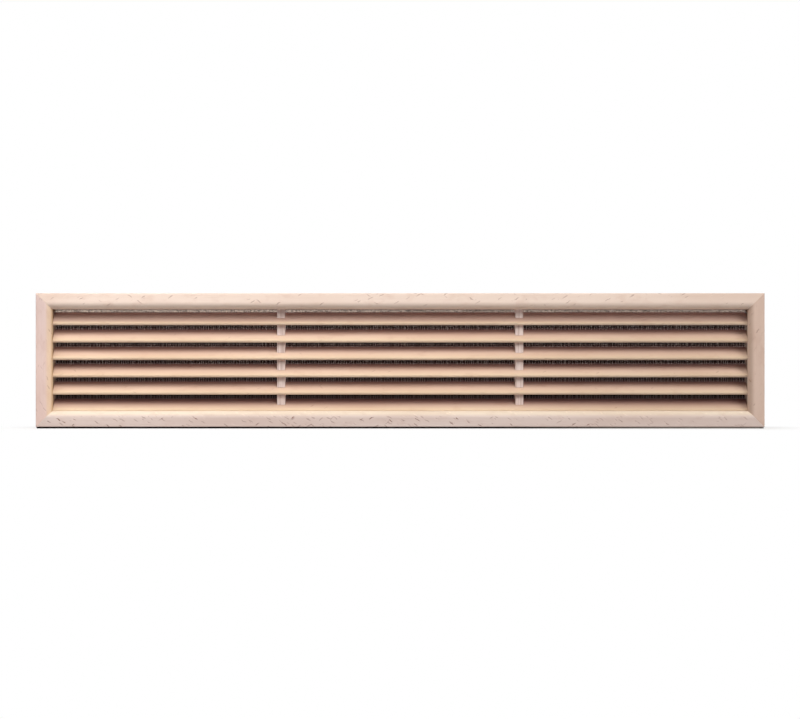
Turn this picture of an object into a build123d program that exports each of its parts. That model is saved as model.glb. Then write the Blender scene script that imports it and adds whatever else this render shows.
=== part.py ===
from build123d import *
import os
from math import cos, radians, sin

# Wooden ventilation grille: a mitred beech frame, fixed louvre slats, two notched battens and an insect net.
# Millimetres. X runs along the grille, Y into the wall and Z up.
# The origin is the centre of the opening, on the wall plane where the back of the flange seats.

# Frame
grille_width = 490.0
grille_height = 90.0
flange_thickness = 7.0
wall_overlap = 6.0  # lap of the flange over the wall beside the cut-out
leg_thickness = 4.7  # wall of the spigot that goes into the cut-out
inner_round = 4.8  # rounded inner edge of the moulding's face
outer_round = 0.6  # softened outer edge of the moulding's face
spigot_chamfer = 0.8  # lead-in on the spigot's outer back edge
mitre_line = 0.3  # width of the fine V left on the face along each mitre

# Slats
slat_count = 6
slat_width = 11.3
slat_thickness = 2.0
slat_angle = 45.0
slat_setback = 4.5  # from the frame's face back to a slat's front edge
slat_round = 0.8  # rounded long edges
slat_tenon = 2.7  # length of each slat end that is housed in a stile
slat_top_gap = 1.6  # between the top slat's rear edge and the top rail
slat_bottom_rise = 0.35  # of the bottom slat's front edge above the bottom rail's inner face
slat_clearance = 0.1  # all round a slat in its housing

# Battens
batten_width = 5.5
batten_spacing = 161.0
batten_setback = 3.5  # from a slat's front edge back to the batten's front
batten_spine = 3.1  # solid back of the batten behind the slats
batten_round = 0.5  # softened front edges of the batten
notch_clearance = 0.15  # all round a slat in its notch

# Insect net
net_thickness = 0.5
net_inset = 1.0  # from the spigot's outer faces to the net's edges
net_corner_cut = 6.0
net_pitch = 1.8
net_wire = 0.45
net_selvedge = 1.5  # plain strip left inside the frame and beside the battens

# Staples and V-nails
staple_crown = 9.0
staple_leg = 6.0
staple_wire_width = 0.75
staple_wire_thickness = 0.55
staple_point = 0.7  # height of the chisel point on each leg
staple_pitch = 78.0
nail_height = 7.0
nail_thickness = 0.5
nail_recess = 0.2

# Places that follow from the sizes above
rim_width = wall_overlap + leg_thickness
opening_width = grille_width - 2 * rim_width
opening_height = grille_height - 2 * rim_width
slat_run = cos(radians(slat_angle))
slat_rise = sin(radians(slat_angle))
face_y = -flange_thickness
slat_front_y = face_y + slat_setback
slat_back_y = slat_front_y + slat_width * slat_run + slat_thickness * slat_rise
back_y = slat_back_y + batten_spine
net_back_y = back_y + net_thickness
batten_front_y = slat_front_y + batten_setback
first_slat_z = opening_height / 2 - slat_top_gap - slat_width * slat_rise
last_slat_z = -opening_height / 2 + slat_bottom_rise
slat_pitch = (first_slat_z - last_slat_z) / (slat_count - 1)
slat_heights = [first_slat_z - i * slat_pitch for i in range(slat_count)]
leg_middle = wall_overlap + leg_thickness / 2  # middle of the spigot's wall, from the outer edge
SIDES = (-1, 1)


def corner(shape, x, y):
    """The vertex of a flat shape that is nearest to (x, y)."""
    return shape.vertices().sort_by_distance((x, y, 0))[0]


# Frame mouldings
def moulding_section():
    """Section of the frame: x runs inwards from the outer edge, y into the wall."""
    outline = Polyline(
        (0, face_y),
        (rim_width, face_y),
        (rim_width, back_y),
        (wall_overlap, back_y),
        (wall_overlap, 0),
        (0, 0),
        close=True,
    )
    section = make_face(outline)
    section = fillet(corner(section, rim_width, face_y), inner_round)
    section = fillet(corner(section, 0, face_y), outer_round)
    return chamfer(corner(section, wall_overlap, back_y), spigot_chamfer)


def mitre_plane(side_x, side_z):
    """Plane of one mitred corner, with its normal on the rail's side."""
    origin = (side_x * grille_width / 2, 0, side_z * grille_height / 2)
    return Plane(origin=origin, x_dir=(0, 1, 0), z_dir=(-side_x, 0, side_z))


def mitre_lines():
    """A fine V on the face along each mitre, which runs out on the rounded inner edge."""
    side = mitre_line * sin(radians(45))
    bar = Rot(45, 0, 0) * Box(2 * rim_width / sin(radians(45)), side, side)
    corners = [(x, z) for x in SIDES for z in SIDES]
    return [Pos(x * grille_width / 2, face_y, z * grille_height / 2) * Rot(0, -45 * x * z, 0) * bar for x, z in corners]


def rail(side_z):
    """Top (+1) or bottom (-1) moulding."""
    place = Plane(origin=(0, 0, side_z * grille_height / 2), x_dir=(0, 0, -side_z), z_dir=(side_z, 0, 0))
    member = extrude(place * moulding_section(), amount=grille_width / 2, both=True)
    for side_x in SIDES:
        member = split(member, bisect_by=mitre_plane(side_x, side_z), keep=Keep.TOP)
    return member


def stile(side_x):
    """Right (+1) or left (-1) moulding."""
    place = Plane(origin=(side_x * grille_width / 2, 0, 0), x_dir=(-side_x, 0, 0), z_dir=(0, 0, -side_x))
    member = extrude(place * moulding_section(), amount=grille_height / 2, both=True)
    for side_z in SIDES:
        member = split(member, bisect_by=mitre_plane(side_x, side_z), keep=Keep.BOTTOM)
    return member


# Louvre slats
def slat_bar(front_z, section, half_length):
    """A bar along X, with its section laid on the slat whose upper front edge lies at front_z."""
    middle_y = slat_front_y + (slat_width * slat_run + slat_thickness * slat_rise) / 2
    middle_z = front_z + (slat_width * slat_rise - slat_thickness * slat_run) / 2
    place = Plane.YZ * Pos(middle_y, middle_z) * Rot(0, 0, slat_angle)
    return extrude(place * section, amount=half_length, both=True)


def slat(front_z):
    """One louvre slat with both of its housed ends."""
    section = RectangleRounded(slat_width, slat_thickness, slat_round)
    return slat_bar(front_z, section, opening_width / 2 + slat_tenon)


def slat_housings(clearance):
    """Room for every slat, with the given clearance all round."""
    section = Rectangle(slat_width + 2 * clearance, slat_thickness + 2 * clearance)
    half_length = opening_width / 2 + slat_tenon + clearance
    return [slat_bar(z, section, half_length) for z in slat_heights]


# Battens that carry the slats between the stiles
def batten(side_x):
    """A comb pushed on from behind, with one notch for each slat."""
    section = Pos(0, (batten_front_y + back_y) / 2) * Rectangle(batten_width, back_y - batten_front_y)
    for side in SIDES:
        section = fillet(corner(section, side * batten_width / 2, batten_front_y), batten_round)
    bar = extrude(Pos(side_x * batten_spacing / 2, 0) * section, amount=opening_height / 2, both=True)
    return bar - slat_housings(notch_clearance)


# Staples that hold the net, and V-nails in the mitres
def staple():
    """A staple driven along +Y, with its crown along X, lying on the net's back."""
    half_crown = staple_crown / 2
    inner = half_crown - staple_wire_thickness
    right = [
        (half_crown, -staple_wire_thickness),
        (half_crown, staple_leg - staple_point),
        (inner, staple_leg),
        (inner, 0),
    ]
    left = [(-x, y) for x, y in reversed(right)]
    outline = make_face(Polyline(*right, *left, close=True))
    for side in SIDES:
        outline = fillet(corner(outline, side * half_crown, -staple_wire_thickness), staple_wire_thickness * 0.9)
    return extrude(outline, amount=staple_wire_width / 2, both=True)


def staples():
    """Every staple in place on the backs of the rails and stiles."""
    driven = Pos(0, net_back_y, 0) * Rot(180, 0, 0) * staple()
    rail_z = grille_height / 2 - leg_middle
    gaps = int((opening_width - staple_crown) / staple_pitch)
    xs = [(i - gaps / 2) * staple_pitch for i in range(gaps + 1)]
    on_rails = [Pos(x, 0, side * rail_z) * driven for side in SIDES for x in xs]
    # On the stiles each staple straddles the rear end of a slat, clear of its housing.
    stile_x = grille_width / 2 - leg_middle
    rear_rise = slat_width * slat_rise - slat_thickness * slat_run / 2
    zs = [slat_heights[i] + rear_rise for i in (1, slat_count - 2)]
    upright = Rot(0, 90, 0) * driven
    on_stiles = [Pos(side * stile_x, 0, z) * upright for side in SIDES for z in zs]
    return on_rails + on_stiles


def v_nails():
    """One V-nail across each mitre, driven in from the back of the frame."""
    wing = leg_thickness / 2
    arm = Rectangle(wing, nail_thickness, align=(Align.MIN, Align.CENTER))
    shape = arm + Rot(0, 0, 90) * arm
    top = back_y - nail_recess
    nails = []
    for side_x in SIDES:
        for side_z in SIDES:
            origin = (side_x * (grille_width / 2 - leg_middle), top, side_z * (grille_height / 2 - leg_middle))
            place = Plane(origin=origin, x_dir=(-side_x, 0, 0), z_dir=(0, side_x * side_z, 0))
            nails.append(extrude(place * shape, amount=-side_x * side_z * nail_height))
    return nails


# Insect net on the back
def net():
    """A thin net with clipped corners: fine wires across each bay, with plain selvedges."""
    width = grille_width - 2 * (wall_overlap + net_inset)
    height = grille_height - 2 * (wall_overlap + net_inset)
    sheet = Rectangle(width, height)
    sheet = chamfer(sheet.vertices(), net_corner_cut)
    slot_height = net_pitch - net_wire
    rows = int((opening_height - 2 * net_selvedge) / net_pitch)
    edges = [-opening_width / 2, -batten_spacing / 2, batten_spacing / 2, opening_width / 2]
    for left, right in zip(edges, edges[1:]):
        slot = Pos((left + right) / 2, 0) * Rectangle(right - left - batten_width - 2 * net_selvedge, slot_height)
        sheet -= [Pos(0, (i - (rows - 1) / 2) * net_pitch) * slot for i in range(rows)]
    return extrude(Plane(origin=(0, back_y, 0), x_dir=(1, 0, 0), z_dir=(0, -1, 0)) * sheet, amount=-net_thickness)


def main():
    fasteners = staples()
    nails = v_nails()
    housings = slat_housings(slat_clearance)
    cut_outs = [*mitre_lines(), *housings, *fasteners, *nails]
    nodes = {
        "top_rail": rail(1) - cut_outs,
        "bottom_rail": rail(-1) - cut_outs,
        "left_stile": stile(-1) - cut_outs,
        "right_stile": stile(1) - cut_outs,
        "left_batten": batten(-1),
        "right_batten": batten(1),
        "insect_net": net() - fasteners,
        "net_staples": Compound(children=fasteners),
        "mitre_v_nails": Compound(children=nails),
    }
    for i, z in enumerate(slat_heights):
        nodes[f"louvre_slat_{i + 1}"] = slat(z)
    os.makedirs("parts", exist_ok=True)
    for name, shape in nodes.items():
        export_step(shape, f"parts/{name}.step")


main()
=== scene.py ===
import math
import random

import bpy
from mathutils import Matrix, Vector


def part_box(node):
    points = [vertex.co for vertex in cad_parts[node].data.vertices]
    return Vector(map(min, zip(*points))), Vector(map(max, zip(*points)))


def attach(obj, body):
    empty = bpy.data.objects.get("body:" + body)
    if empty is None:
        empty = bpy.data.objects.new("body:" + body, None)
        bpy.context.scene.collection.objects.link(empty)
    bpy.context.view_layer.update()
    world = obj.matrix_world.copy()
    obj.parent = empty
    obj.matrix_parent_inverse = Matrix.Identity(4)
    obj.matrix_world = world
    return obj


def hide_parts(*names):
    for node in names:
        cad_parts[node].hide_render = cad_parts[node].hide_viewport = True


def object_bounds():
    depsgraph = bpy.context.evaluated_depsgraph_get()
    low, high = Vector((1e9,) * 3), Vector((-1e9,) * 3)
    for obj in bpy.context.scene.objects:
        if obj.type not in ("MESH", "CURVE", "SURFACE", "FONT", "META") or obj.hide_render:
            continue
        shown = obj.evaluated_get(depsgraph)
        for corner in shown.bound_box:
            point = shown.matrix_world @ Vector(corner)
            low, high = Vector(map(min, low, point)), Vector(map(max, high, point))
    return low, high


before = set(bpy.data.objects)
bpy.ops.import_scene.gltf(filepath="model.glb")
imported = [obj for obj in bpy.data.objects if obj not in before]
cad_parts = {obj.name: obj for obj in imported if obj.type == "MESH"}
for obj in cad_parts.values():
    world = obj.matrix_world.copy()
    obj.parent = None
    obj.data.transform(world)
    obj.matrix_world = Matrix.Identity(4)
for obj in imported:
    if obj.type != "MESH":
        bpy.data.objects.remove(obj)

# Wooden ventilation grille: beech frame, louvre slats, battens, woven insect net, staples and V-nails.
# Metres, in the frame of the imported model: X along the grille, Y into the wall, Z up.
CAD_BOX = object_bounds()
MM = 0.001
LEFT, FACE_Y, BOTTOM = CAD_BOX[0]
RIGHT, BACK_Y, TOP = CAD_BOX[1]
RIM_WIDTH = 10.7 * MM  # of the frame, seen from the front
INNER_X = RIGHT - RIM_WIDTH
INNER_Z = TOP - RIM_WIDTH

BATTENS = ("left_batten", "right_batten")
SLATS = tuple(sorted(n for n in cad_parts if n.startswith("louvre_slat_")))
FASTENERS = ("net_staples", "mitre_v_nails")

# Camera
IMAGE_WIDTH = 800
CAMERA_DISTANCE = 1.400  # from the face of the frame
FACE_WIDTH_PX = 729.1
SENSOR_WIDTH = 36.0
CAMERA_SHIFT = (-0.0002, 0.0008)
CLIP_START = 0.01

# Light
WORLD_TINT = (0.90, 0.82, 1.0)
WORLD_STRENGTH = 0.04
LAMPS = [
    # Name, place, aim, size, watts and colour
    ("left", (-0.35, -0.25, 0.45), (-0.1, 0, 0), (0.5, 0.3), 2.35, (1.0, 0.98, 0.97)),
    ("right", (1.8, -1.5, 1.3), (0, 0, 0), (1.0, 1.0), 36.5, (1.0, 0.98, 0.94)),
    ("front", (0.0, -0.62, 0.79), (0, 0, 0), (1.2, 0.85), 2.95, (1.0, 0.98, 0.96)),
    ("top", (0.0, -0.06, 0.20), (0, 0, 0), (0.7, 0.08), 0.12, (1.0, 0.98, 0.96)),
    ("back", (0.0, 1.2, 0.4), (0, 0, 0), (0.8, 0.5), 12.0, (1.0, 0.99, 0.98)),
]

# Floor
FLOOR_HALF = 3.0
FLOOR_GAP = 0.95 * MM  # shadow gap under the bottom edge
FLOOR_SHADOW_REACH = 0.04
FLOOR_NEAR_WHITE = 0.60  # share of plain white right beside the object
FLOOR_TONES = ((0.78, 0.775, 0.77), (0.80, 0.795, 0.79))
FLOOR_BOUNCE = (0.40, 0.395, 0.39)  # floor colour that lights the object
FLOOR_SCALE = 3

# Dark cards: painted shade for the unlit space behind the net, with painted glows on it, and a painted shadow
# in the gap under the bottom edge
CARD_BEHIND = 0.4 * MM  # of the card that stands for the unlit space, behind the net
CARD_INSET = 0.6 * MM  # of the card that paints the shadow in the gap under the bottom edge
CARD_BLACK = (0.012, 0.010, 0.010)
GAP_RIGHT_END = (0.25, 0.225, 0.205)  # paler right end of the painted shadow in the gap
CARD_FADE_X = (0.05, 0.20)
PAINTED_LIGHT_PALE = (0.50, 0.41, 0.34)  # painted light on the net over the top slat
STRIP_HEIGHT = 1.0 * MM
STRIP_DIM = (-0.10, 0.05, 1.0, 0.70)  # in X, from full to dim
STRIP_SPECKS = (0.40, 0.60, 0.08, 1.20)
SPECK_SCALE = 1200
PAINTED_GLOW_BROWN = (0.075, 0.040, 0.038)  # painted glow of shaded wood, just above each slat
GLOW_RISE = (0.02, 0.14)  # in shares of the slats' pitch
GLOW_DIM = (-0.035, 0.0, 0.35, 1.0)  # in Z, from dim to full

# Net
NET_PITCH = 1.6 * MM
NET_THREAD = 0.30 * MM
NET_UNEVEN = 0.32  # of the pitch, by which a thread may lie off its place
NET_CORNER_CUT = 6.0 * MM
THREAD_PRESS = 0.95  # pressing of the threads where they cross
THREAD_TONES = ((0.14, 0.12, 0.12), (0.95, 0.93, 0.90))
# Pale spots on the threads are painted glints
THREAD_GLINT = (0.47, 0.62)
THREAD_GLINT_SCALE = 1500
THREAD_GLINT_HEIGHT = (-0.026, 0.010, 0.05, 1.0)  # few painted glints low down, as painted shade, and all of them high up
THREAD_TWIST_SCALE = 5200
THREAD_ROUGH = (0.42, 0.58)

# Steel
STEEL_TONES = ((0.42, 0.43, 0.44), (0.62, 0.63, 0.64))
STEEL_ROUGH = (0.30, 0.48)
SPANGLE_SCALE = 900
DRAWN_SCALE = 6000

# Grain of the wood: repeats per metre across it and along it
BROAD_GRAIN = (70, 11)
MOTTLE_GRAIN = (190, 90)
LINE_GRAIN = (1300, 22)
PORE_GRAIN = (5200, 420)
GRAIN_DEPTH = 0.12 * MM
WOOD_SPECULAR = 0.14
WOOD_SMOOTHEST = 0.60

# Shades of a wood's tone, as factors of red, green and blue
LIGHT_SHADE = (1.03, 1.05, 1.06)
DARK_SHADE = (0.95, 0.93, 0.92)
PATCH_SHADE = (0.91, 0.86, 0.84)
FLECK_SHADE = (0.44, 0.30, 0.27)
PALE_FLECK_SHADE = (1.16, 1.16, 1.16)

# Sanded and sawn wood: shade and share of the growth lines, greatest roughness and relief
SANDED = {
    "line_shade": (0.86, 0.79, 0.75),
    "line_share": (0.52, 0.74, 0.0, 0.28),
    "roughest": 0.72,
    "line_height": 0.6,
    "pore_height": 0.5,
    "bump": 0.35,
}
SAWN = {
    "line_shade": (0.72, 0.65, 0.61),
    "line_share": (0.44, 0.60, 0.0, 0.80),
    "roughest": 0.82,
    "line_height": 1.6,
    "pore_height": 1.5,
    "bump": 0.65,
}

# Ray flecks
FLECK_TILT = math.radians(31)
FLECK_LENGTH = 4.0 * MM
FLECK_WIDTH = 0.66 * MM
FLECK_DEPTH = 2.0 * MM
FLECK_ROOM = 1.9  # size of a cell, in flecks
FLECK_CORE = (0.30, 0.62)  # full within the first distance and gone beyond the second, in flecks
FLECK_FAINTEST = 0.35
FLECK_CROSSING = 0.2  # share of the flecks that slants the other way
FLECK_PALE = 0.45  # strength of the pale streak beside a fleck
FLECK_PALE_SIDE = 0.55 * MM  # from a fleck to its pale streak
FLECK_BUMP = 0.35
FLECK_BEND = 1.6 * MM
FLECK_BEND_SCALE = 420.0
FLECK_CROWD = (0.36, 0.62, 0.35, 1.25)
FLECK_CROWD_SCALE = 110


# Node helpers for the materials
class Graph:
    """Builds one node material, a node at a time."""

    def __init__(self, name):
        self.material = bpy.data.materials.new(name)
        self.material.use_nodes = True
        self.tree = self.material.node_tree
        self.tree.nodes.clear()
        self.output = self.node("ShaderNodeOutputMaterial")

    def node(self, kind, inputs=None, **settings):
        made = self.tree.nodes.new(kind)
        for key, value in settings.items():
            setattr(made, key, value)
        for key, value in (inputs or {}).items():
            self.put(made.inputs[key], value)
        return made

    def put(self, socket, value):
        if isinstance(value, bpy.types.NodeSocket):
            self.tree.links.new(value, socket)
        else:
            socket.default_value = value

    def math(self, operation, a, b=0.0):
        made = self.node("ShaderNodeMath", {0: a, 1: b}, operation=operation)
        return made.outputs[0]

    def times(self, a, b):
        return self.math("MULTIPLY", a, b)

    def vector(self, operation, a, b):
        made = self.node("ShaderNodeVectorMath", {0: a, 1: b}, operation=operation)
        return made.outputs[0]

    def ramp(self, factor, low, high, start=0.0, end=1.0):
        """Maps factor from low..high to start..end with a smooth step."""
        made = self.node("ShaderNodeMapRange", interpolation_type="SMOOTHSTEP")
        for socket, value in zip(made.inputs, (factor, low, high, start, end)):
            self.put(socket, value)
        return made.outputs[0]

    def mix(self, factor, a, b, blend="MIX"):
        made = self.node("ShaderNodeMix", data_type="RGBA", blend_type=blend)
        self.put(made.inputs[0], factor)
        self.put(made.inputs[6], a)
        self.put(made.inputs[7], b)
        return made.outputs[2]

    def here(self):
        """Object coordinates."""
        return self.node("ShaderNodeTexCoord").outputs["Object"]

    def split(self, vector):
        """The X, Y and Z of a vector."""
        return self.node("ShaderNodeSeparateXYZ", {"Vector": vector}).outputs

    def place(self, scale, turn=(0, 0, 0), shift=(0, 0, 0), source=None):
        """Object coordinates, turned, moved and scaled (in repeats per metre)."""
        inputs = {"Vector": source or self.here(), "Rotation": turn, "Location": shift}
        turned = self.node("ShaderNodeMapping", inputs).outputs[0]
        return self.node("ShaderNodeMapping", {"Vector": turned, "Scale": scale}).outputs[0]

    def warped(self, scale, reach):
        """Object coordinates, pushed about by up to half of reach."""
        source = self.here()
        inputs = {"Vector": source, "Scale": scale, "Detail": 1.0}
        push = self.node("ShaderNodeTexNoise", inputs).outputs["Color"]
        push = self.vector("SUBTRACT", push, (0.5, 0.5, 0.5))
        push = self.vector("MULTIPLY", push, (reach, reach, reach))
        return self.vector("ADD", source, push)

    def noise(self, vector, detail=2.0, rough=0.5):
        inputs = {"Vector": vector, "Scale": 1.0, "Detail": detail, "Roughness": rough}
        return self.node("ShaderNodeTexNoise", inputs).outputs[0]

    def even_noise(self, scale, detail=2.0, rough=0.5):
        return self.noise(self.place((scale, scale, scale)), detail, rough)

    def show(self, shader):
        """Ends the material with a shader."""
        self.tree.links.new(shader.outputs[0], self.output.inputs[0])
        return self.material

    def finish(self, color, rough, height, bump, depth, specular, metallic=0.0):
        """Ends the material with an opaque, bumped surface."""
        relief = {"Height": height, "Strength": bump, "Distance": depth}
        surface = {
            "Base Color": color,
            "Roughness": rough,
            "Metallic": metallic,
            "Specular IOR Level": specular,
            "Normal": self.node("ShaderNodeBump", relief).outputs[0],
        }
        return self.show(self.node("ShaderNodeBsdfPrincipled", surface))


def rgba(r, g, b):
    return (r, g, b, 1.0)


def shaded(tone, shade):
    """A tone times a shade, no lighter than white."""
    return rgba(*(min(1.0, c * k) for c, k in zip(tone, shade)))


def stretched(along, fine, coarse):
    """Scale that is coarse along the grain's axis and fine across it."""
    return tuple(coarse if axis == along else fine for axis in "xyz")


# Limits of a band: an axis, where its ramp starts and ends, and the values there
def past(axis, low, high):
    return (axis, low, high, 0.0, 1.0)


def short_of(axis, low, high):
    return (axis, low, high, 1.0, 0.0)


def within(g, limits):
    """Product of the limits; NZ is how far a face looks up."""
    if not limits:
        return 1.0
    x, y, z = g.split(g.here())
    up = g.split(g.node("ShaderNodeNewGeometry").outputs["Normal"])[2]
    measures = {"X": x, "Y": y, "Z": z, "NZ": up}
    share = 1.0
    for axis, *span in limits:
        share = g.times(g.ramp(measures[axis], *span), share)
    return share


# Beech, with growth lines along the piece and short brown ray flecks
def ray_flecks(g, along, tilt, share, shift):
    """Thin slanting strokes, each the core of a long thin cell; the other cells have none."""
    size = {"x": FLECK_WIDTH, "y": FLECK_DEPTH, "z": FLECK_WIDTH}
    size[along] = FLECK_LENGTH
    scale = tuple(1 / (FLECK_ROOM * size[axis]) for axis in "xyz")
    cells = g.place(scale, (0, tilt, 0), shift, g.warped(FLECK_BEND_SCALE, FLECK_BEND))
    inputs = {"Vector": cells, "Scale": 1.0, "Randomness": 1.0}
    cell = g.node("ShaderNodeTexVoronoi", inputs, feature="F1")
    picked = g.node("ShaderNodeSeparateColor", {"Color": cell.outputs["Color"]})
    crowd_scale = (FLECK_CROWD_SCALE, FLECK_CROWD_SCALE, FLECK_CROWD_SCALE)
    crowd = g.ramp(g.noise(g.place(crowd_scale, shift=shift), 1.0), *FLECK_CROWD)
    chosen = g.math("LESS_THAN", picked.outputs[0], g.times(crowd, share))
    full, gone = (distance / FLECK_ROOM for distance in FLECK_CORE)
    core = g.ramp(cell.outputs["Distance"], full, gone, 1.0, 0.0)
    strength = g.ramp(picked.outputs[1], 0.0, 1.0, FLECK_FAINTEST, 1.0)
    return g.times(g.times(core, chosen), strength)


def beech(name, along, tone, seed, tilt, share, strength, bands=(), flecked=(), finish=SANDED):
    """Beech with its grain along one axis, tinted by each band, and flecked within limits."""
    g = Graph(name)
    shift = (seed * 0.37, seed * 0.53, seed * 0.71)
    broad = g.noise(g.place(stretched(along, *BROAD_GRAIN), shift=shift), 2.0)
    mottle = g.noise(g.place(stretched(along, *MOTTLE_GRAIN), shift=shift), 3.0, 0.6)
    lines = g.noise(g.place(stretched(along, *LINE_GRAIN), shift=shift), 3.0, 0.6)
    pores = g.noise(g.place(stretched(along, *PORE_GRAIN), shift=shift), 2.0, 0.6)
    color = g.mix(g.ramp(broad, 0.32, 0.68), shaded(tone, DARK_SHADE), shaded(tone, LIGHT_SHADE))
    color = g.mix(g.ramp(mottle, 0.50, 0.72, 0.0, 0.55), color, shaded(tone, PATCH_SHADE))
    color = g.mix(g.ramp(lines, *finish["line_share"]), color, shaded(tone, finish["line_shade"]))

    # Most flecks slant one way, and a few cross them.
    slanting = ray_flecks(g, along, tilt, share, shift)
    crossing = ray_flecks(g, along, -tilt, FLECK_CROSSING * share, shift[::-1])
    marks = g.times(g.math("ADD", slanting, crossing), strength)
    marks = g.times(g.math("MINIMUM", marks, 1.0), within(g, flecked))
    beside = [s + FLECK_PALE_SIDE for s in shift]
    pale = g.times(ray_flecks(g, along, tilt, share, beside), FLECK_PALE * strength)
    color = g.mix(pale, color, shaded(tone, PALE_FLECK_SHADE))
    color = g.mix(marks, color, shaded(tone, FLECK_SHADE))
    for tint, *limits in bands:
        color = g.mix(within(g, limits), color, rgba(*tint), "MULTIPLY")

    rough = g.ramp(lines, 0.3, 0.7, WOOD_SMOOTHEST, finish["roughest"])
    relief = (g.times(lines, finish["line_height"]), g.times(pores, finish["pore_height"]))
    height = g.math("SUBTRACT", g.math("ADD", *relief), g.times(marks, FLECK_BUMP))
    return g.finish(color, rough, height, finish["bump"], GRAIN_DEPTH, WOOD_SPECULAR)


def net_thread(name):
    """Coated glass-fibre thread, grey, with pale painted glints that thin out lower down as painted shade."""
    g = Graph(name)
    glint_noise = g.even_noise(THREAD_GLINT_SCALE, 3.0, 0.7)
    twist = g.even_noise(THREAD_TWIST_SCALE, 1.0)
    height = g.split(g.here())[2]
    glinting = g.times(g.ramp(glint_noise, *THREAD_GLINT), g.ramp(height, *THREAD_GLINT_HEIGHT))
    color = g.mix(glinting, *(rgba(*tone) for tone in THREAD_TONES))
    return g.finish(color, g.ramp(twist, 0.3, 0.7, *THREAD_ROUGH), twist, 0.3, 0.05 * MM, 0.5)


def galvanised(name):
    """Zinc-coated steel wire, dull in patches."""
    g = Graph(name)
    spangle = g.even_noise(SPANGLE_SCALE, 3.0)
    drawn = g.even_noise(DRAWN_SCALE, 2.0)
    color = g.mix(g.ramp(spangle, 0.35, 0.65), *(rgba(*tone) for tone in STEEL_TONES))
    rough = g.ramp(spangle, 0.3, 0.7, *STEEL_ROUGH)
    return g.finish(color, rough, drawn, 0.15, 0.03 * MM, 0.5, metallic=1.0)


def dress(node, material):
    """Gives a CAD node its material."""
    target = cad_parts[node]
    target.data.materials.clear()
    target.data.materials.append(material)


# Tones of the pieces of wood, partly their own and partly painted light and shade: the top rail and left
# stile lighter, the bottom rail and right stile darker, the battens paler
TOP_TONE = (0.92, 0.745, 0.64)
BOTTOM_TONE = (0.765, 0.63, 0.575)
LEFT_TONE = (0.85, 0.65, 0.59)
RIGHT_TONE = (0.76, 0.575, 0.48)
SLAT_TONE = (0.72, 0.51, 0.39)
BATTEN_TONE = (0.90, 0.75, 0.71)

# Bands that tint the wood by its place, some for its growth and some painted light and shade: a tint and its
# limits
UPWARD = past("NZ", -0.3, 0.3)
SLAT_BANDS = [
    # Painted highlight on the lower front edge, a painted warm highlight on the front, and painted shade on
    # the right end
    ((1.26, 1.36, 1.52), short_of("NZ", -0.75, 0.25), short_of("Y", -2.0 * MM, -0.5 * MM)),
    ((1.02, 1.08, 1.0), short_of("Y", -2.0 * MM, 1.0 * MM)),
    ((0.90, 0.90, 0.91), past("X", 0.03, 0.17)),
]
REAR_BANDS = [
    # Shade towards the rear of the upper face
    ((0.60, 0.57, 0.69), past("Y", 0.5 * MM, 5.5 * MM), UPWARD),
    ((0.76, 0.67, 0.66), past("Y", 0.5 * MM, 4.2 * MM), UPWARD),
]
TOP_SLAT_BANDS = [
    # Shade behind the front edge, and less of it at the rear
    ((0.74, 0.70, 0.76), past("Y", -3.0 * MM, 0.5 * MM), UPWARD),
    ((1.34, 1.28, 1.44), past("Y", 1.5 * MM, 5.5 * MM), UPWARD),
]
# The bottom slat gets more painted shade over its upper face
BOTTOM_SLAT_BANDS = REAR_BANDS + [((0.62, 0.56, 0.58), past("Y", -2.0 * MM, 4.0 * MM), UPWARD)]
BACK_BAND = ((0.80, 0.77, 0.75), past("Y", -0.4 * MM, 0.2 * MM))
# Painted shade on the stiles' inner walls
WALL_SHADE = (0.42, 0.36, 0.31)
TOP_BANDS = [
    # Back, outer edge, and painted shade on the left part of the rounding
    BACK_BAND,
    ((0.80, 0.78, 0.76), past("Z", TOP - 0.5 * MM, TOP - 0.1 * MM)),
    ((0.89, 0.90, 0.91), short_of("Z", INNER_Z + 1.5 * MM, INNER_Z + 4.0 * MM), short_of("X", -0.02, 0.15)),
]
BOTTOM_BANDS = [
    # Back, painted shade on the underside of the front rounding, and a painted highlight on the inner
    # rounding
    BACK_BAND,
    ((0.22, 0.20, 0.20), short_of("NZ", -0.85, -0.40),
     short_of("Y", FACE_Y + 0.4 * MM, FACE_Y + 0.9 * MM), short_of("X", 0.05, 0.20)),
    ((1.06, 1.09, 0.97), past("Z", -INNER_Z - 4.0 * MM, -INNER_Z - 1.5 * MM)),
]
LEFT_BANDS = [
    # Back, painted shade on the top, painted warm light on the rounding, and painted shade on the inner edge
    # and inner wall
    BACK_BAND,
    ((0.87, 0.87, 0.88), past("Z", -0.01, 0.04)),
    ((1.0, 0.985, 0.80), past("X", -INNER_X - 4.6 * MM, -INNER_X - 2.2 * MM)),
    ((0.82, 0.76, 0.66), past("X", -INNER_X - 1.2 * MM, -INNER_X - 0.1 * MM)),
    (WALL_SHADE, past("X", -INNER_X - 0.7 * MM, -INNER_X - 0.2 * MM), past("Y", -4.0 * MM, 0.0)),
]
RIGHT_BANDS = [
    # Back, painted shade on the rounding and on the inner wall
    BACK_BAND,
    ((0.76, 0.74, 0.70), short_of("X", INNER_X + 1.2 * MM, INNER_X + 4.4 * MM)),
    (WALL_SHADE, short_of("X", INNER_X + 0.2 * MM, INNER_X + 0.7 * MM), past("Y", -3.0 * MM, 0.0)),
]
# The flecks leave the rails' rounded edges clear, and thin out towards the right of the bottom rail.
TOP_FLECKED = [past("Z", INNER_Z + 1.5 * MM, INNER_Z + 3.5 * MM)]
BOTTOM_FLECKED = [short_of("Z", -INNER_Z - 4.2 * MM, -INNER_Z - 2.8 * MM), ("X", 0.05, 0.20, 1.0, 0.55)]


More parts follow.
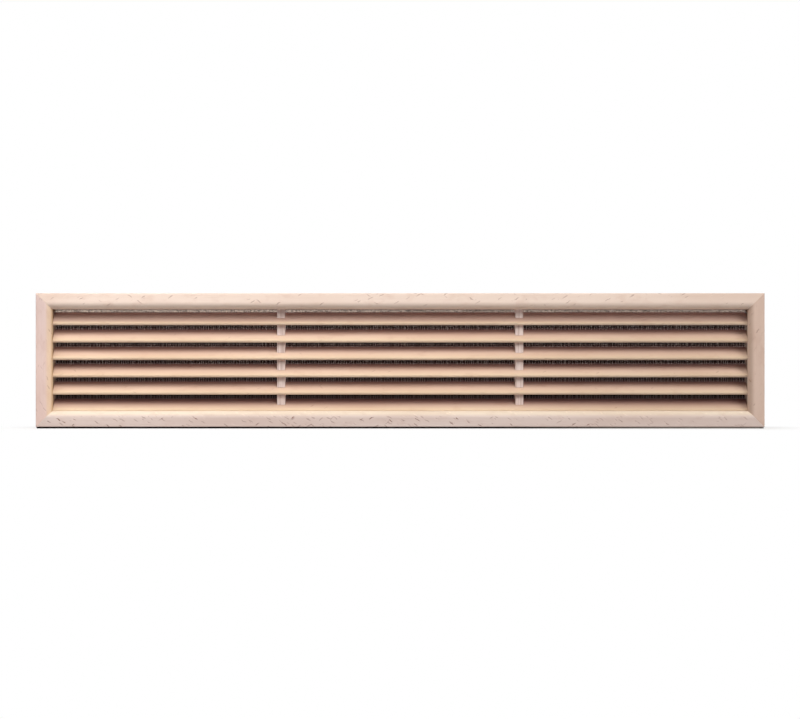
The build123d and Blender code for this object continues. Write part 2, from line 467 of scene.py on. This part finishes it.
def dress_all():
    """Gives every CAD node its material: grain, tone, seed, and tilt, share and strength of the flecks."""
    top = beech("beech_top_rail", "x", TOP_TONE, 1.0, FLECK_TILT, 0.28, 0.62, TOP_BANDS, TOP_FLECKED)
    dress("top_rail", top)
    bottom = beech("beech_bottom_rail", "x", BOTTOM_TONE, 2.0, -FLECK_TILT, 0.8, 1.4,
                   BOTTOM_BANDS, BOTTOM_FLECKED)
    dress("bottom_rail", bottom)
    dress("left_stile", beech("beech_left_stile", "z", LEFT_TONE, 3.0, FLECK_TILT, 0.35, 0.45, LEFT_BANDS))
    right = beech("beech_right_stile", "z", RIGHT_TONE, 4.0, -FLECK_TILT, 0.35, 0.45, RIGHT_BANDS)
    dress("right_stile", right)
    own_bands = {SLATS[0]: TOP_SLAT_BANDS, SLATS[-1]: BOTTOM_SLAT_BANDS}
    for i, name in enumerate(SLATS):
        bands = SLAT_BANDS + own_bands.get(name, REAR_BANDS)
        dress(name, beech(f"beech_slat_{i + 1}", "x", SLAT_TONE, 5.0 + i, FLECK_TILT, 0.06, 0.35, bands))
    for i, name in enumerate(BATTENS):
        dress(name, beech(f"beech_batten_{i + 1}", "z", BATTEN_TONE, 15.0 + i, 0.0, 0.1, 0.3, finish=SAWN))
    steel = galvanised("galvanised_wire")
    for name in FASTENERS:
        dress(name, steel)


dress_all()


# Woven net: threads that pass over and under each other, cut to the net's clipped outline
def thread_places(low, high):
    """Even places of the threads between two edges of the net."""
    count = int((high - low - NET_THREAD) / NET_PITCH) + 1
    offset = (high - low - (count - 1) * NET_PITCH) / 2
    return [low + offset + i * NET_PITCH for i in range(count)]


def woven_threads(along, across, low, high, plane_y, first):
    """Vertices and faces of all threads that run along one axis of the net."""
    start, end = low[along], high[along]
    places = thread_places(low[across], high[across])
    crossings = thread_places(start, end)
    half = NET_THREAD / 2
    lift = half * THREAD_PRESS
    ring = [(math.cos(a), math.sin(a)) for a in (math.pi / 4 * k for k in (1, 3, 5, 7))]
    n = len(ring)
    draw = random.Random(first)
    verts, faces = [], []
    for i, place in enumerate(places):
        if 0 < i < len(places) - 1:
            place += draw.uniform(-NET_UNEVEN, NET_UNEVEN) * NET_PITCH
        # The clipped corners shorten the outer threads.
        reach = max(0.0, NET_CORNER_CUT - min(place - low[across], high[across] - place))
        points = [(start + reach, 0.0)]
        for j, s in enumerate(crossings):
            if start + reach < s < end - reach:
                points.append((s, lift if (i + j + first) % 2 else -lift))
        points.append((end - reach, 0.0))
        base = len(verts)
        for s, off in points:
            for c, d in ring:
                v = [0.0, plane_y + off + d * lift, 0.0]
                v[along] = s
                v[across] = place + c * half
                verts.append(v)
        for j in range(len(points) - 1):
            for k in range(n):
                a = base + j * n + k
                b = base + j * n + (k + 1) % n
                faces.append((a, b, b + n, a + n))
        faces.append(tuple(base + k for k in reversed(range(n))))
        faces.append(tuple(base + (len(points) - 1) * n + k for k in range(n)))
    return verts, faces


def mesh_piece(name, verts, faces, material):
    mesh = bpy.data.meshes.new(name)
    mesh.from_pydata(verts, [], faces)
    mesh.update()
    mesh.materials.append(material)
    piece = bpy.data.objects.new(name, mesh)
    bpy.context.collection.objects.link(piece)
    return piece


def make_net():
    low, high = (Vector(v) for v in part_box("insect_net"))
    plane_y = (low.y + high.y) / 2
    material = net_thread("net_thread")
    for name, along, across, first in (("insect_net_weft", 0, 2, 0), ("insect_net_warp", 2, 0, 1)):
        verts, faces = woven_threads(along, across, low, high, plane_y, first)
        piece = mesh_piece(name, verts, faces, material)
        for polygon in piece.data.polygons:
            polygon.use_smooth = True
        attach(piece, "root")
        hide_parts("insect_net")


make_net()


# Stage: a pale floor, and dark cards of painted shade for the unlit space behind the net and painted shadow
# in the gap under the bottom edge
def stage_plane(name, corners, material):
    plane = mesh_piece(name, corners, [(0, 1, 2, 3)], material)
    return plane


def floor_material():
    """Pale floor with the object's shadow beside it, and white to the camera further out."""
    g = Graph("pale_floor")
    tint = g.even_noise(FLOOR_SCALE, 2.0)
    pale = g.mix(g.ramp(tint, 0.3, 0.7), *(rgba(*tone) for tone in FLOOR_TONES))
    path = g.node("ShaderNodeLightPath")
    seen = g.math("MAXIMUM", path.outputs["Is Camera Ray"], path.outputs["Is Glossy Ray"])
    color = g.mix(seen, rgba(*FLOOR_BOUNCE), pale)
    diffuse = g.node("ShaderNodeBsdfDiffuse", {"Color": color})
    white = g.node("ShaderNodeEmission", {"Color": rgba(1, 1, 1), "Strength": 1.0})
    x, y, _ = g.split(g.here())
    off_middle = g.math("ABSOLUTE", g.math("SUBTRACT", y, (FACE_Y + BACK_Y) / 2))
    beside = g.math("MAXIMUM", g.math("SUBTRACT", g.math("ABSOLUTE", x), RIGHT), 0.0)
    before = g.math("MAXIMUM", g.math("SUBTRACT", off_middle, (BACK_Y - FACE_Y) / 2), 0.0)
    away = g.math("SQRT", g.math("ADD", g.math("POWER", beside, 2.0), g.math("POWER", before, 2.0)))
    bright = g.ramp(away, 0.0, FLOOR_SHADOW_REACH, FLOOR_NEAR_WHITE, 1.0)
    bright = g.times(g.times(bright, g.math("GREATER_THAN", away, 0.0)), seen)
    return g.show(g.node("ShaderNodeMixShader", {0: bright, 1: diffuse.outputs[0], 2: white.outputs[0]}))


def card_material(name, right_end):
    """Painted shade from the front, near black, with a painted brown glow above each slat and painted pale
    light above the top one; clear from behind.
    """
    g = Graph(name)
    x, _, height = g.split(g.here())
    top_slat, next_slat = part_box(SLATS[0])[1][2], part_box(SLATS[1])[1][2]
    # Painted shade, paler towards the right end where right_end is paler
    shade = g.mix(g.ramp(x, *CARD_FADE_X), rgba(*CARD_BLACK), rgba(*right_end))
    dark = g.node("ShaderNodeBsdfDiffuse", {"Color": shade})
    # Painted pale light over the top slat, specked and dimmer to the right
    strip = g.times(g.ramp(height, top_slat - STRIP_HEIGHT, top_slat), g.ramp(x, *STRIP_DIM))
    strip = g.times(strip, g.ramp(g.even_noise(SPECK_SCALE, 3.0, 0.7), *STRIP_SPECKS))
    pale = g.node("ShaderNodeEmission", {"Color": rgba(*PAINTED_LIGHT_PALE), "Strength": strip})
    # Painted brown glow just above each slat, dimmer low down
    rise = g.math("DIVIDE", g.math("SUBTRACT", height, next_slat), top_slat - next_slat)
    above = g.ramp(g.math("FRACT", g.math("ADD", rise, len(SLATS))), *GLOW_RISE, 1.0, 0.0)
    above = g.times(above, g.ramp(height, *GLOW_DIM))
    brown = g.node("ShaderNodeEmission", {"Color": rgba(*PAINTED_GLOW_BROWN), "Strength": above})
    front = g.node("ShaderNodeAddShader", {0: dark.outputs[0], 1: pale.outputs[0]})
    front = g.node("ShaderNodeAddShader", {0: front.outputs[0], 1: brown.outputs[0]})
    clear = g.node("ShaderNodeBsdfTransparent")
    back = g.node("ShaderNodeNewGeometry").outputs["Backfacing"]
    return g.show(g.node("ShaderNodeMixShader", {0: back, 1: front.outputs[0], 2: clear.outputs[0]}))


def dark_card(name, half_width, y, bottom, top, right_end):
    """An upright card that faces the front and paints shade there; diffuse light and shadow rays pass through
    it.
    """
    corners = [(-half_width, y, bottom), (half_width, y, bottom), (half_width, y, top), (-half_width, y, top)]
    card = stage_plane(name, corners, card_material(name, right_end))
    card.visible_diffuse = False
    card.visible_shadow = False


def make_stage():
    floor_z = BOTTOM - FLOOR_GAP
    signs = ((-1, -1), (1, -1), (1, 1), (-1, 1))
    corners = [(x * FLOOR_HALF, y * FLOOR_HALF, floor_z) for x, y in signs]
    stage_plane("floor", corners, floor_material())
    net_low, net_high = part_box("insect_net")
    # Painted shade behind the net, with painted glows on it
    dark_card("unlit_space", net_high[0], BACK_Y + CARD_BEHIND, net_low[2], net_high[2], CARD_BLACK)
    # A painted shadow line in the gap under the bottom edge
    dark_card("shadow_gap", RIGHT - CARD_INSET, FACE_Y + CARD_INSET, floor_z, BOTTOM, GAP_RIGHT_END)


make_stage()


# Light and camera
def make_world():
    """White to the camera, soft and even on the object."""
    made = bpy.data.worlds.new("studio")
    bpy.context.scene.world = made
    made.use_nodes = True
    nodes, links = made.node_tree.nodes, made.node_tree.links
    nodes.clear()
    out = nodes.new("ShaderNodeOutputWorld")
    seen = nodes.new("ShaderNodeBackground")
    seen.inputs[0].default_value = rgba(1, 1, 1)
    light = nodes.new("ShaderNodeBackground")
    light.inputs[0].default_value = rgba(*WORLD_TINT)
    light.inputs[1].default_value = WORLD_STRENGTH
    path = nodes.new("ShaderNodeLightPath")
    mix = nodes.new("ShaderNodeMixShader")
    either = nodes.new("ShaderNodeMath")
    either.operation = "MAXIMUM"
    links.new(path.outputs["Is Camera Ray"], either.inputs[0])
    links.new(path.outputs["Is Glossy Ray"], either.inputs[1])
    links.new(either.outputs[0], mix.inputs[0])
    links.new(light.outputs[0], mix.inputs[1])
    links.new(seen.outputs[0], mix.inputs[2])
    links.new(mix.outputs[0], out.inputs[0])


def area(name, place, aim, size, power, color):
    data = bpy.data.lights.new(name, "AREA")
    data.shape = "RECTANGLE"
    data.size, data.size_y = size
    data.energy = power
    data.color = color
    lamp = bpy.data.objects.new(name, data)
    bpy.context.collection.objects.link(lamp)
    lamp.location = place
    lamp.rotation_euler = (Vector(aim) - Vector(place)).to_track_quat("-Z", "Y").to_euler()


def make_camera():
    """Square on to the face, with the face as wide as in the picture."""
    camera = bpy.data.cameras.new("camera")
    camera.sensor_fit = "HORIZONTAL"
    camera.sensor_width = SENSOR_WIDTH
    camera.lens = FACE_WIDTH_PX / IMAGE_WIDTH * SENSOR_WIDTH * CAMERA_DISTANCE / (RIGHT - LEFT)
    camera.shift_x, camera.shift_y = CAMERA_SHIFT
    camera.clip_start = CLIP_START
    viewer = bpy.data.objects.new("camera", camera)
    bpy.context.collection.objects.link(viewer)
    viewer.location = (0, FACE_Y - CAMERA_DISTANCE, 0)
    viewer.rotation_euler = (math.radians(90), 0, 0)
    bpy.context.scene.camera = viewer


make_world()
for lamp in LAMPS:
    area(*lamp)
make_camera()
bpy.context.scene.view_settings.view_transform = "Standard"
